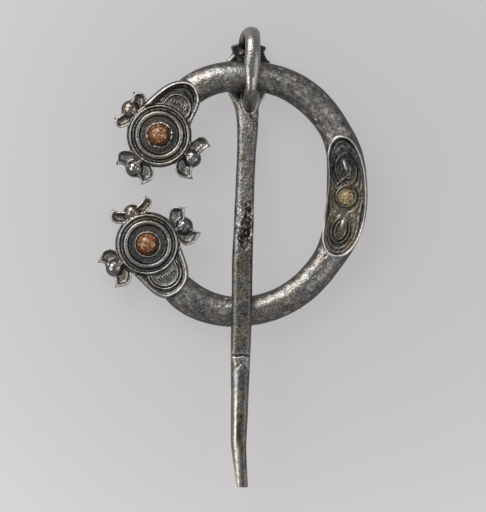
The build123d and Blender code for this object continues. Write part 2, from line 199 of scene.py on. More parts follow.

# Colours that lie over the silver in places, in the order in which they are laid. Some of them
# are painted shade and painted highlights
HOOP_PATCHES = (
    ("soot_and_shade", "#222124"),
    ("clay", "#65583c"),
    ("paste", "#c9c0b0"),
    ("wear_and_highlight", "#e4e0d8"),
)
PIN_PATCHES = (
    ("plain", "#8f8d89"),
    ("shade", "#3a3632"),
    ("burnt", "#1b1918"),
    ("soot_and_shade", "#191817"),
    ("wear_and_highlight", "#e6e0d2"),
)
# The node, piece, slot and lumpiness of each stud, and how far the painted shade at its rim is
# shifted towards its lower right.
STUDS = (
    ("upper_stud", "upper_amber", "amber", 0.012, 0.12),
    ("lower_stud", "lower_amber", "amber", 0.012, 0.12),
    ("panel_stud", "panel_amber", "decayed_amber", 0.16, -0.36),
)
# Each light's name, direction from the brooch, distance and size in metres.
LIGHTS = (
    ("Key", (-0.42, 0.70, 0.57), 0.42, 0.30),
    ("Fill", (0.75, -0.10, 0.65), 0.45, 0.35),
    ("Wash", (-0.80, 0.0, 0.60), 0.45, 0.24),
)
# The middle of the picture in millimetres in the hoop's plane, then metres
PICTURE_MIDDLE = (0.6, -14.7)
CAMERA_DISTANCE = 0.3
FLOOR_SIZE = 0.6
FLOOR_GAP = 0.02 * MM


def linear(colour, alpha=1.0):
    """An sRGB hex colour as the linear values that Blender's sockets take."""
    parts = [int(colour[i:i + 2], 16) / 255 for i in (1, 3, 5)]
    return (*[c / 12.92 if c <= 0.04045 else ((c + 0.055) / 1.055) ** 2.4 for c in parts], alpha)


def put(tree, kind, sockets=None, stops=None, **settings):
    """Adds a node with its settings, links and, if it is a ramp, stops, and gives its outputs."""
    made = tree.nodes.new(kind)
    for name, value in settings.items():
        setattr(made, name, value)
    for name, value in (sockets or {}).items():
        if isinstance(value, bpy.types.NodeSocket):
            tree.links.new(value, made.inputs[name])
        else:
            made.inputs[name].default_value = value
    for i, (place, colour) in enumerate(stops or ()):
        stop = made.color_ramp.elements[i] if i < 2 else made.color_ramp.elements.new(place)
        stop.position = place
        stop.color = colour
    return made.outputs


def bare_material(name):
    """A material with an empty tree, and its tree."""
    material = bpy.data.materials.new(name)
    material.use_nodes = True
    material.node_tree.nodes.clear()
    return material, material.node_tree


def dense_copy(name, node, voxel):
    """A close-meshed copy of a CAD node, as one closed skin."""
    piece = bpy.data.objects.new(name, frame["nodes"][node].data.copy())
    piece.data.materials.clear()
    bpy.context.scene.collection.objects.link(piece)
    shell = bmesh.new()
    shell.from_mesh(piece.data)
    bmesh.ops.remove_doubles(shell, verts=shell.verts, dist=1e-7)
    shell.to_mesh(piece.data)
    shell.free()
    grid = piece.modifiers.new("Grid", "REMESH")
    grid.mode = "VOXEL"
    grid.voxel_size = voxel * MM
    keep_modifiers(piece)
    return piece


def keep_modifiers(piece):
    """Makes a piece's modifiers part of its mesh."""
    graph = bpy.context.evaluated_depsgraph_get()
    made = bpy.data.meshes.new_from_object(piece.evaluated_get(graph))
    old = piece.data
    piece.modifiers.clear()
    piece.data = made
    bpy.data.meshes.remove(old)
    made.name = piece.name


def points_of(mesh, ways, place):
    """A mesh's points in a piece's own directions, in millimetres."""
    flat = np.empty(len(mesh.vertices) * 3, np.float32)
    mesh.vertices.foreach_get("co", flat)
    return (flat.reshape(-1, 3).astype(float) / MM - place) @ ways.T


def set_points(mesh, points, ways, place, node):
    """Puts the points back, within the CAD node's own box, and gives their outward directions."""
    low, high = (np.array(corner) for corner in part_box(node))
    world = np.clip((points @ ways + place) * MM, low, high)
    mesh.vertices.foreach_set("co", world.astype(np.float32).ravel())
    mesh.update()
    return normals_of(mesh, ways)


def normals_of(mesh, ways):
    """The outward direction at each point, in a piece's own directions."""
    flat = np.empty(len(mesh.vertices) * 3, np.float32)
    mesh.vertex_normals.foreach_get("vector", flat)
    return flat.reshape(-1, 3).astype(float) @ ways.T


def edges_of(mesh):
    """The pairs of points that edges join."""
    flat = np.empty(len(mesh.edges) * 2, np.int32)
    mesh.edges.foreach_get("vertices", flat)
    return flat.reshape(-1, 2)


def softened(values, edges, rounds, share=0.6):
    """Values at points, each drawn towards the mean of its neighbours, some rounds over."""
    a, b = edges.T
    count = len(values)
    degree = np.bincount(a, minlength=count) + np.bincount(b, minlength=count)
    degree = np.maximum(degree, 1)
    result = values.copy()
    columns = result.reshape(count, -1)
    for _ in range(rounds):
        for k in range(columns.shape[1]):
            column = columns[:, k]
            total = np.bincount(a, column[b], count) + np.bincount(b, column[a], count)
            columns[:, k] = column + share * (total / degree - column)
    return result


def mottle(points, size, seed, octaves=1):
    """Soft random values from -1 to 1, with spots of a size in millimetres."""
    total, weight_sum, weight = 0.0, 0.0, 1.0
    for octave in range(octaves):
        scaled = points / (size * 0.5**octave) + 37.7 * (seed + octave)
        cell = np.floor(scaled).astype(np.int64)
        part = scaled - cell
        part = part * part * (3 - 2 * part)
        value = 0.0
        for corner in np.ndindex(2, 2, 2):
            at = cell + corner
            mixed = (at[:, 0] * 73856093) ^ (at[:, 1] * 19349663) ^ (at[:, 2] * 83492791)
            mixed = ((mixed ^ (mixed >> 13)) * 1274126177) & 0xFFFFFF
            mixed = ((mixed ^ (mixed >> 11)) * 668265263) & 0xFFFFFF
            share = np.prod(np.where(corner, part, 1 - part), axis=1)
            value = value + share * mixed / 0xFFFFFF
        total = total + weight * (2 * value - 1)
        weight_sum += weight
        weight *= 0.5
    return total / weight_sum


def ramp(values, low, high):
    """0 below low, 1 above high, and a soft step between them."""
    t = np.clip((values - low) / (high - low), 0, 1)
    return t * t * (3 - 2 * t)


def band(values, low, full, last, high):
    """1 from full to last, and softly down to 0 at low and at high."""
    return ramp(values, low, full) * (1 - ramp(values, last, high))


def bell(values, width, middle=0.0, power=2):
    """1 at the middle, and down to nothing about twice the width away."""
    return np.exp(-((values - middle) / width) ** power)


def rounded_line(points, closed=False):
    """A finer line through the points, with no corners."""
    points = np.array(points, float)
    count = len(points)
    line = []
    for i in range(count if closed else count - 1):
        if closed:
            p = [points[(i + k) % count] for k in (-1, 0, 1, 2)]
        else:
            p = [points[min(max(i + k, 0), count - 1)] for k in (-1, 0, 1, 2)]
        for t in np.arange(LINE_STEPS) / LINE_STEPS:
            line.append(0.5 * (2 * p[1] + (p[2] - p[0]) * t
                               + (2 * p[0] - 5 * p[1] + 4 * p[2] - p[3]) * t * t
                               + (3 * p[1] - p[0] - 3 * p[2] + p[3]) * t**3))
    line.append(line[0] if closed else points[-1])
    return np.array(line)


def line_distance(places, line):
    """Distance of each flat place from a line."""
    nearest = np.full(len(places), 1e9)
    for start, end in zip(line, line[1:]):
        along = end - start
        share = np.clip(((places - start) @ along) / max(along @ along, 1e-12), 0, 1)
        nearest = np.minimum(nearest, np.hypot(*(places - start - share[:, None] * along).T))
    return nearest


def turned(places, angle):
    """Flat places as along and across a direction."""
    turn = math.radians(angle)
    along = places @ np.array((math.cos(turn), math.sin(turn)))
    across = places @ np.array((-math.sin(turn), math.cos(turn)))
    return along, across


def polar(points):
    """Distance from the hoop's centre and angle in degrees, seen from the face."""
    x, y = points[:, 0], points[:, 1]
    return np.hypot(x, y), np.degrees(np.arctan2(y, x))


def on_hoop(turn, distance):
    """The place at an angle in degrees and a distance from the hoop's centre."""
    return distance * np.array((math.cos(math.radians(turn)), math.sin(math.radians(turn))))


def from_stud(points, node):
    """Flat places counted from the middle of a stud, and their distance from it."""
    low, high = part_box(node)
    flat = points[:, :2] - (HOOP_WAYS @ np.array((low + high) / 2) / MM)[:2]
    return flat, np.hypot(*flat.T)


def from_domes(points):
    """Flat distance from the nearest head's dome."""
    nearest = np.full(len(points), 1e9)
    for node, (*_, heads) in TERMINALS.items():
        flat, _ = from_stud(points, node)
        for head, reach, *_ in heads:
            out, cross = turned(flat, head)
            nearest = np.minimum(nearest, np.hypot(out - reach, cross))
    return nearest


def heights(points):
    """The points' heights as a view, so that what is cut from them is cut from the points."""
    return points[:, 2]


def facing_out(normals):
    """1 where the surface looks out of the face, and 0 on its steep sides."""
    return ramp(normals[:, 2], 0.35, 0.8)


def mark(mesh, name, values):
    """Keeps a value for each point, for the materials to read."""
    values = np.clip(values, 0, 1).astype(np.float32)
    mesh.attributes.new(name, "FLOAT", "POINT").data.foreach_set("value", values)


def worn_marks(mesh, points, edges, normals, cleaned=0.0, dulled=0.0):
    """How hollow and how proud each point stands, from a fine and a broad view of the surface."""
    fine = softened(points, edges, 6)
    broad = softened(fine, edges, 60)
    near = np.einsum("ij,ij->i", fine - points, normals)
    far = np.einsum("ij,ij->i", broad - points, normals)
    hollow = ramp(near, 0.004, 0.045) * 0.55 + ramp(far, 0.02, 0.42) * 0.75
    proud = ramp(-near, 0.006, 0.040) * 0.8 + ramp(-far, 0.10, 0.45) * 0.35
    mark(mesh, "hollow", softened(hollow * (1 - cleaned), edges, 2))
    bare = proud * (1 - 0.8 * np.clip(hollow, 0, 1)) * (1 - dulled)
    bare *= 0.55 + 0.45 * ramp(mottle(points, 1.1, 81, 2), -0.35, 0.25)
    mark(mesh, "rubbed", softened(bare, edges, 2))
    # Tarnish with painted shade over it: the steep sides are blackest, and the back only dull
    steep = np.clip((0.9 - normals[:, 2]) / 0.66, 0, 1)
    mark(mesh, "flank_shade", steep * (0.3 + 0.7 * ramp(normals[:, 2], -0.85, -0.3)))


def thin_out(piece, triangles):
    """Leaves fewer triangles where the skin is plain."""
    now = sum(len(face.vertices) - 2 for face in piece.data.polygons)
    if now > triangles:
        fewer = piece.modifiers.new("Fewer", "DECIMATE")
        fewer.ratio = triangles / now
        keep_modifiers(piece)
    piece.data.polygons.foreach_set("use_smooth", np.ones(len(piece.data.polygons), bool))
    piece.data.update()


def dress(piece, material, node, body):
    """Gives a piece its material and its place on a body, and hides the CAD node it stands for."""
    piece.data.materials.append(material)
    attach(piece, body)
    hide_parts(node)


def arc_through(start, middle, end):
    """Places on the arc from start through middle to end."""
    (ax, ay), (bx, by), (cx, cy) = start, middle, end
    d = 2 * (ax * (by - cy) + bx * (cy - ay) + cx * (ay - by))
    a2, b2, c2 = ax * ax + ay * ay, bx * bx + by * by, cx * cx + cy * cy
    x = (a2 * (by - cy) + b2 * (cy - ay) + c2 * (ay - by)) / d
    y = (a2 * (cx - bx) + b2 * (ax - cx) + c2 * (bx - ax)) / d
    turns = np.unwrap([math.atan2(py - y, px - x) for px, py in (start, middle, end)])
    angles = np.linspace(turns[0], turns[2], ARC_STEPS)
    radius = math.hypot(ax - x, ay - y)
    return np.column_stack((x + radius * np.cos(angles), y + radius * np.sin(angles)))


def ear_sides(length, spread, side, reach):
    """The tip of an ear, along and across its head, and the arcs of its outer and inner side."""
    tip = (length * EAR_LENGTH - 0.2, side * (spread * EAR_SPREAD - 0.1))
    root = (EAR_ROOT[0] * EAR_LENGTH, side * EAR_ROOT[1] * EAR_SPREAD)
    bulge = (EAR_BULGE[0] * EAR_LENGTH,
             side * (EAR_BULGE[1] + EAR_BULGE[2] * spread) * EAR_SPREAD)
    inner = ((tip[0] + reach) / 2 - 0.2, tip[1] / 2 + side * 0.1)
    return np.array(tip), arc_through(root, bulge, tip), arc_through(tip, inner, (reach, 0))


def inside(places, outline):
    """Whether each place lies inside a closed outline."""
    x, y = places.T
    odd = np.zeros(len(places), bool)
    for (ax, ay), (bx, by) in zip(outline, np.roll(outline, -1, axis=0)):
        if ay != by:
            odd ^= ((ay > y) != (by > y)) & (x < (bx - ax) * (y - ay) / (by - ay) + ax)
    return odd


def fuller(out, cross):
    """How far an ear's outer side swells outwards at places along and across its head."""
    return (EAR_SWELL * np.sign(cross) * ramp(np.abs(cross), 1.5, 3.2)
            * band(out, 6.3, 7.6, 8.4, 10.8))


def slim_tip(places, ear):
    """Draws the last stretch of an ear to a slimmer, rounded tip."""
    tip, outer, inner = ear_sides(*ear)
    way = (outer[-1] - outer[-3]) + (inner[0] - inner[2])
    way /= np.hypot(*way)
    beside_way = np.array((-way[1], way[0]))
    along, beside = (places - tip) @ way, (places - tip) @ beside_way
    close = np.abs(beside) < 1.7
    slim = 1 - 0.42 * ramp(along, -2.4, -0.3) * close
    back = 0.35 * np.clip(np.abs(beside) - 0.2, 0, 0.5) * ramp(along, -1.2, -0.4) * close
    return tip + (along - back)[:, None] * way + (beside * slim)[:, None] * beside_way


def hollow_ears(points, flat, heads, shine):
    """Fills out each ear's outer side, hollows the ear to a bowl, and paints a highlight on its thin rim."""
    level = heights(points)
    radius = np.hypot(*flat.T)
    for head, reach, *sizes, _ in heads:
        out, cross = turned(flat, head)
        # An ear is its length, its spread, its side of the head and the head's reach
        pair = ((*sizes[:2], -1, reach), (*sizes[2:], 1, reach))
        near = np.flatnonzero((out > 6) & (out < 12) & (np.abs(cross) > 1.4)
                              & (np.abs(cross) < 5.5) & (radius > EAR_START)
                              & (level < EAR_TOP + 0.1))
        places = np.column_stack((out[near], cross[near]))
        places[:, 1] += fuller(*places.T) * ramp(radius[near], EAR_START, 7.9)
        for ear in pair:
            half = places[:, 1] * ear[-2] > 0
            places[half] = slim_tip(places[half], ear)
        moved = places - np.column_stack((out[near], cross[near]))
        points[near, :2] += np.column_stack(turned(moved, -head))
        out[near], cross[near] = places.T
        dome = np.sqrt((out - reach) ** 2 + cross**2 + (level - SNOUT_LEVEL) ** 2)
        for ear in pair:
            tip, outer, inner = ear_sides(*ear)
            edge = np.concatenate((outer, inner))
            edge[:, 1] += fuller(*edge.T)
            edge = slim_tip(edge[np.hypot(*(edge - tip).T) > EAR_TIP], ear)
            near = np.flatnonzero((level > 0.7) & (level < EAR_TOP + 0.06)
                                  & (dome > SNOUT_RADIUS + 0.12) & (cross * ear[-2] > 0.45)
                                  & (out > 6.5) & (out < 14) & (radius > DISC_RADIUS + 0.1))
            places = np.column_stack((out, cross))[near]
            held = inside(places, np.vstack((edge, (EAR_ROOT[0] * EAR_LENGTH, 0))))
            near, places = near[held], places[held]
            inset = line_distance(places, edge)
            bowl = EAR_BOWL * ramp(inset, 0.24, 1.25)
            lip = EAR_LIP * bell(inset, 0.14, 0.2)
            ridge = EAR_RIDGE * np.cos(2 * math.pi * inset / 0.55) * ramp(inset, 0.5, 0.9)
            level[near] = EAR_TOP - 0.06 + lip - bowl + ridge
            # A painted highlight along the ear's rim
            shine[near] = np.maximum(shine[near], 0.4 * bell(inset, 0.15, 0.12))


def carve_heads(points, normals, flat, heads):
    """Splits the neck ridges and raises the eyes."""
    level = heights(points)
    facing = facing_out(normals)
    for head, reach, *_, eyes in heads:
        out, cross = turned(flat, head)
        near = (np.abs(cross) < 2.4) & (out > 5.0) & (out < 13) & (level > 0.4)
        neck = near & (out < reach - 0.7)
        groove = bell(cross[neck], 0.13) * facing[neck]
        level[neck] -= NECK_GROOVE * groove * ramp(out[neck], 5.6, 6.2)
        for eye_out, eye_cross in eyes:
            spot = np.hypot(out[near] - eye_out, cross[near] - eye_cross)
            level[near] += EYE_RING * (bell(spot, 0.15, 0.34) - bell(spot, 0.13, 0.62))


def carve_tongue(points, normals, flat, node, shine):
    """Sinks a tongue's far end, cuts the lines that run between its arch and its rim, and paints a
    highlight along the rim.
    """
    level = heights(points)
    direction, side, length, arch, sunk, lines, _ = TERMINALS[node]
    radius = np.hypot(*flat.T)
    facing = facing_out(normals)
    places = np.column_stack(turned(flat, direction))
    along, across = places.T
    rim = rounded_line([(a * length, side * b * TONGUE_HALF_WIDTH) for a, b in TONGUE_RIMS[node]])
    crest = np.flatnonzero((along > 2) & (radius > DISC_RADIUS) & (radius < length + 1.5)
                           & (level > FIELD_FLOOR) & (np.abs(across) < 8))
    beside = line_distance(places[crest], rim)
    # A painted highlight along the rim's crest, fading out across the tongue towards one side
    lit = bell(beside, 0.24) * facing[crest] * ramp(across[crest], -4.5, 0.5)
    shine[crest] = np.maximum(shine[crest], 0.95 * lit)
    field = np.flatnonzero((along > 2) & (radius > DISC_RADIUS + 0.1) & (radius < length + 1)
                           & (level > FIELD_FLOOR - 0.3) & (level < FIELD_TOP)
                           & (np.abs(across) < TONGUE_HALF_WIDTH * 1.2))
    field = field[inside(places[field], np.vstack((rim, (0, 0))))]
    inset = line_distance(places[field], rim)
    beyond = np.hypot(along[field] - DISC_RADIUS, across[field]) - arch
    past = np.clip(beyond, 0, None)
    share = past / (past + inset)
    open_field = ramp(beyond, 0.1, 0.5) * ramp(inset, 0.25, 0.6)
    level[field] -= sunk * open_field * ramp(beyond, 0.2, 1.4)
    ridges = TONGUE_LINE * np.cos(2 * math.pi * share * lines)
    level[field] += ridges * open_field * facing[field]
    # The upper tongue's ribs stand in two clusters, with a gap between them
    if node == "upper_stud":
        gap = bell(across[field], 0.32) * ramp(radius[field], 7.4, 7.7)
        gap *= 1 - ramp(beyond, -1.0, -0.6)
        level[field] -= gap * np.clip(level[field] - FIELD_FLOOR - 0.1, 0, None)


def carve_panel(points, normals, shine):
    """Cuts the nested lines of the side panel, rounds its pellets, and paints highlights on them and
    on parts of its rim.
    """
    level = heights(points)
    facing = facing_out(normals)
    radius, angle = polar(points)
    rim = rounded_line([on_hoop(turn, distance) for turn, distance in PANEL_RIM], closed=True)
    crest = np.flatnonzero((radius > 18) & (radius < 30) & (np.abs(angle + 3.3) < 37)
                           & (level > 1.4))
    beside = line_distance(points[crest, :2], rim)
    outer = ramp(radius[crest], 23.5, 25)
    top = ramp(angle[crest], 22, 25) * (1 - ramp(radius[crest], 25.6, 26.6))
    low = ramp(-angle[crest], 21 - 9 * outer, 25 - 10 * outer)
    # Painted highlight along the rim: at its top end, its low end, and weakly on its outer side
    lit = bell(beside, 0.26) * facing[crest] * np.maximum(np.maximum(top, low), 0.3 * outer)
    shine[crest] = np.maximum(shine[crest], lit)
    field = np.flatnonzero((radius > 19.3) & (radius < 28.8) & (np.abs(angle + 3.3) < 33)
                           & (level > 1.4) & (level < FIELD_TOP))
    field = field[inside(points[field, :2], rim)]
    inset = line_distance(points[field, :2], rim)
    _, beyond = from_stud(points[field], "panel_stud")
    beyond -= 2.5
    for turn, distance, long, wide, lean in PANEL_LOOPS:
        across, along = turned(points[field, :2] - on_hoop(turn, distance), turn + lean)
        beyond = np.minimum(beyond, (np.hypot(across / wide, along / long) - 1) * wide)
    past = np.clip(beyond, 0, None)
    share = past / (past + inset + 1e-6)
    open_field = ramp(beyond, 0.05, 0.3) * ramp(inset, 0.25, 0.5)
    ridges = PANEL_LINE * open_field * np.cos(2 * math.pi * share * 3)
    level[field] += facing[field] * ridges
    grit = PANEL_GRIT * mottle(points[field], 0.5, 41, 2) * ramp(inset, 0.2, 0.5)
    level[field] += facing[field] * grit
    for turn, distance in PANEL_PELLETS:
        across, along = turned(points[field, :2] - on_hoop(turn, distance), turn + 4)
        around = 1 - ramp(np.hypot(across / 0.68, along / 1.6), 0.8, 1.05)
        level[field] -= around * np.clip(level[field] - FIELD_FLOOR, 0, None)
        pellet = bell(np.hypot(across / 0.26, along / 0.95), 1)
        level[field] += PELLET_RISE * pellet
        # The pellets get a painted highlight
        shine[field] = np.maximum(shine[field], pellet)


def ease_bends(points):
    """Turns the straight stretches of the pin's shaft into one flowing line."""
    step, reach = 0.5, 2.2
    shaft = np.flatnonzero(points[:, 1] < -6.0)
    slot = np.floor(-points[shaft, 1] / step).astype(int)
    rows = np.arange(slot.min(), slot.max() + 1)
    low, high = np.full(len(rows), 1e9), np.full(len(rows), -1e9)
    np.minimum.at(low, slot - rows[0], points[shaft, 0])
    np.maximum.at(high, slot - rows[0], points[shaft, 0])
    weight = bell((rows[:, None] - rows[None, :]) * step, reach)
    weight /= weight.sum(axis=1, keepdims=True)
    # The ends keep their place
    hold = np.minimum(ramp(rows * step, 8, 14), 1 - ramp(rows * step, 88, TIP_END))
    middle, half = (low + high) / 2, (high - low) / 2
    eased_middle = middle + hold * (weight @ middle - middle)
    eased_half = half + hold * (weight @ half - half)
    below = -points[shaft, 1] / step - 0.5
    old_middle, old_half, new_middle, new_half = (
        np.interp(below, rows, values) for values in (middle, half, eased_middle, eased_half))
    points[shaft, 0] = new_middle + (points[shaft, 0] - old_middle) * new_half / old_half


def carve_pin(points, normals):
    """Cuts the cracks and the corroded patch, and raises the edges of the loop's foot."""
    level = heights(points)
    facing = ramp(normals[:, 2], 0.25, 0.7)
    down = -points[:, 1]
    for line, depth, width in CRACKS:
        near = np.flatnonzero((np.abs(points[:, 1] - line[0][1]) < 4) & (level > -3))
        distance = line_distance(points[near, :2], np.array(line))
        distance *= 1 + 0.6 * mottle(points[near], 0.7, 67, 2)
        distance += 0.12 * mottle(points[near], 0.9, 69, 2)
        level[near] -= depth * facing[near] * bell(distance, width)
    for line in FOOT_EDGES:
        near = np.flatnonzero((down > 3) & (down < 9.5) & (level > -3))
        distance = line_distance(points[near, :2], rounded_line(line))
        level[near] += FOOT_RISE * facing[near] * bell(distance, 0.24)
    # Hammer ripples run across the loop's front
    front = ramp(level, 1.0, 3.0) * band(points[:, 1], -1.0, 1.0, 5.5, 7.0)
    ripples = np.cos(2 * math.pi * (points[:, 1] - 0.3 * points[:, 0]) / RIPPLE_SPACING)
    level += RIPPLE_RISE * front * ripples
    # Past the cracks the shaft is bevelled along its left side, and the bevel widens to the tip
    leftward = 0.9 * ramp(down, TIP_BEND, TIP_END) - points[:, 0]
    bevel = ramp(down, LOWER_CRACK, 66) * ramp(leftward, 0.2, 2.0)
    level -= BEVEL_DROP * bevel * ramp(level, 1.0, 3.0)
    # Just above the crack the shaft is a little thicker
    level += CRACK_STEP * band(-down, -62.9, -62.5, -61.5, -55) * facing
    level += ROUGH_RISE * rough_stretch(down) * facing * mottle(points, 0.55, 65, 2)
    pits = ramp(mottle(points, 0.75, 61, 3), -0.1, 0.5)
    level -= (0.16 + 0.34 * pits) * corroded(points) * facing


def rough_stretch(down):
    """The stretch of the shaft round its corroded patch, where the surface is rough."""
    return bell(down, 6.5, 33.5, 4)


def corroded(points):
    """How far each place of the pin lies inside its corroded patch."""
    ragged = 0.55 * mottle(points, 1.3, 63, 2)
    upper = np.hypot((points[:, 0] - 0.55) / 1.15, (points[:, 1] + 31.4) / 3.6) + ragged
    lower = np.hypot((points[:, 0] - 0.15) / 1.25, (points[:, 1] + 35.4) / 3.8) + ragged
    return 1 - ramp(np.minimum(upper, lower), 0.75, 1.05)


def break_collar(points, node, ragged):
    """Wears down the collar round an amber stud, unevenly."""
    flat, radius = from_stud(points, node)
    ring = np.flatnonzero((radius > 2.5) & (radius < 3.3) & (points[:, 2] > DISH_TOP))
    spread = np.column_stack((np.arctan2(flat[ring, 1], flat[ring, 0]) * COLLAR_RADIUS,
                              radius[ring], np.zeros(len(ring))))
    worn = ramp(mottle(spread, 0.8, 51, 2), -0.35, 0.35)
    lost = np.clip(0.25 + ragged * worn, 0, 0.95)
    points[ring, 2] -= np.clip(points[ring, 2] - DISH_TOP, 0, None) * lost


def colour_setting(label, meaning, default):
    """A setting that holds a colour."""
    return bpy.props.StringProperty(
        name=label, description=f"Colour of {meaning}, as sRGB hex", default=default)


class BroochSilver(bpy.types.PropertyGroup):
    """Colours and polish of the silver."""

    worn: colour_setting("Worn silver", "silver rubbed bare", "#cdcac4")
    dull: colour_setting("Dull silver", "silver under a thin tarnish", "#8f8c87")
    warm: colour_setting("Warm tarnish", "the brown tarnish", "#83786c")
    cold: colour_setting("Cold tarnish", "the blue-grey tarnish", "#6e7072")
    # Also the colour of the painted shade on the steep sides
    black: colour_setting("Black tarnish", "tarnish and dirt in the hollows", "#1c1a19")
    polish: bpy.props.FloatProperty(
        name="Roughness", description="Roughness of the rubbed silver", default=0.30,
        min=0.05, max=1.0, subtype="FACTOR")


class BroochAmber(bpy.types.PropertyGroup):
    """Colours of the amber."""

    body: colour_setting("Amber", "most of the amber", "#985c34")
    deep: colour_setting("Deep amber", "the amber's depth", "#3a1a0c")
    fleck: colour_setting("Flecks", "the cracks that catch the light", "#f2d7a4")
    decayed: colour_setting("Decayed amber", "the weathered crust", "#88744e")


class BroochMesh(bpy.types.PropertyGroup):
    """How finely the pieces are meshed."""

    hoop_grid: bpy.props.FloatProperty(
        name="Hoop grid", description="Grid of the hoop's skin", default=0.13 * MM,
        min=0.05 * MM, max=0.5 * MM, precision=5, unit="LENGTH")
    pin_grid: bpy.props.FloatProperty(
        name="Pin grid", description="Grid of the pin's skin", default=0.12 * MM,
        min=0.05 * MM, max=0.5 * MM, precision=5, unit="LENGTH")
    stud_grid: bpy.props.FloatProperty(
        name="Stud grid", description="Grid of the studs' skins", default=0.07 * MM,
        min=0.03 * MM, max=0.5 * MM, precision=5, unit="LENGTH")
    triangles: bpy.props.IntProperty(
        name="Triangles", description="Most triangles of a piece", default=195000, min=10000)


class BroochStage(bpy.types.PropertyGroup):
    """Floor, lights and camera."""

    floor: colour_setting("Floor", "the floor", "#c4c2c3")
    picture_height: bpy.props.FloatProperty(
        name="Picture height", description="Height of what the camera sees",
        default=115.05 * MM, unit="LENGTH")
    key: bpy.props.FloatProperty(
        name="Key light", description="Power of the large light at the upper left",
        default=1.5, unit="POWER")
    fill: bpy.props.FloatProperty(
        name="Fill light", description="Power of the soft light at the right",
        default=0.5, unit="POWER")
    wash: bpy.props.FloatProperty(
        name="Wash light", description="Power of the soft light at the left",
        default=0.65, unit="POWER")
    room: bpy.props.FloatProperty(
        name="Room light", description="Strength of the even light of the room", default=0.35)


def silver(name, looks, flank_shade_share, patches):
    """Old silver: worn on the proud places, with tarnish and dirt left in the hollows, painted shade
    on the steep sides and painted highlights on rims and edges.
    """
    # Handling polishes what stands proud and leaves the rest its matt, blackened skin, so to the
    # eye the relief is drawn in pale lines on near black. The steep sides are darkened by the given
    # share, tarnish with painted shade over it, and each mark in patches lays its colour over the
    # rest, painted shade and painted highlights among them.
    material, tree = bare_material(name)
    place = put(tree, "ShaderNodeTexCoord")["Object"]
    hollow, rubbed, steep, sheen, wear_and_highlight = (
        put(tree, "ShaderNodeAttribute", attribute_name=mark_name)["Fac"]
        for mark_name in ("hollow", "rubbed", "flank_shade", "sheen", "wear_and_highlight"))
    # Patches of tarnish 5 mm wide, and dents 0.7 mm apart. The grain of tarnish is too fine to
    # show, so it is drawn at 0.36 mm.
    cloud = put(tree, "ShaderNodeTexNoise", {"Vector": place, "Scale": 1 / (5 * MM), "Detail": 4.0,
                "Roughness": 0.6})["Fac"]
    speck = put(tree, "ShaderNodeTexNoise", {"Vector": place, "Scale": 1 / (0.36 * MM),
                "Detail": 3.0, "Roughness": 0.65})["Fac"]
    pits = put(tree, "ShaderNodeTexVoronoi", {"Vector": place, "Scale": 1 / (0.7 * MM)},
               feature="F1")["Distance"]
    tint = put(tree, "ShaderNodeValToRGB", {"Fac": cloud}, stops=(
        (0.36, linear(looks.cold)), (0.50, linear(looks.dull)), (0.64, linear(looks.warm))))
    fine = put(tree, "ShaderNodeMapRange", {"Value": speck, "From Min": 0.35, "From Max": 0.65,
               "To Min": 0.4, "To Max": 1.5})["Result"]
    toned = put(tree, "ShaderNodeMix", {0: 1.0, 6: tint["Color"], 7: fine}, data_type="RGBA",
                blend_type="MULTIPLY")[2]
    # Painted shade on the steep sides, over their tarnish, by the given share
    flank_shade = put(tree, "ShaderNodeMapRange", {"Value": steep, "To Max": flank_shade_share})["Result"]
    layers = [(flank_shade, looks.black), (rubbed, looks.worn), (hollow, looks.black)]
    for mark_name, colour in patches:
        amount = put(tree, "ShaderNodeAttribute", attribute_name=mark_name)["Fac"]
        layers.append((amount, colour))
    for amount, colour in layers:
        toned = put(tree, "ShaderNodeMix", {0: amount, 6: toned, 7: linear(colour)},
                    data_type="RGBA")[2]
    rough = put(tree, "ShaderNodeMapRange", {"Value": hollow, "To Min": looks.polish,
                "To Max": 0.62})["Result"]
    uneven = put(tree, "ShaderNodeMath", {0: speck, 1: 0.22, 2: -0.08}, operation="MULTIPLY_ADD")[0]
    rough = put(tree, "ShaderNodeMath", {0: rough, 1: uneven}, operation="ADD")[0]
    # A smooth dome or loop is polished, and has no grain to break its highlight
    rough = put(tree, "ShaderNodeMix", {0: sheen, 2: rough, 3: 0.2})[0]
    coarse = put(tree, "ShaderNodeMapRange", {"Value": sheen, "To Min": 0.6,
                 "To Max": 0.12})["Result"]
    grain = put(tree, "ShaderNodeBump", {"Height": speck, "Strength": coarse,
                "Distance": 0.12 * MM})
    dents = put(tree, "ShaderNodeBump", {"Height": pits, "Strength": 0.25, "Distance": 0.12 * MM,
                "Normal": grain["Normal"]})
    metal = put(tree, "ShaderNodeMapRange", {"Value": hollow, "To Min": 1.0,
                "To Max": 0.75})["Result"]
    # Where wear and painted highlights lie, the silver is only half metallic, so these edges
    # look white from every side
    metal = put(tree, "ShaderNodeMix", {0: wear_and_highlight, 2: metal, 3: 0.5})[0]
    skin = put(tree, "ShaderNodeBsdfPrincipled", {"Base Color": toned, "Metallic": metal,
               "Roughness": rough, "Normal": dents["Normal"]})
    put(tree, "ShaderNodeOutputMaterial", {"Surface": skin["BSDF"]})
    return material


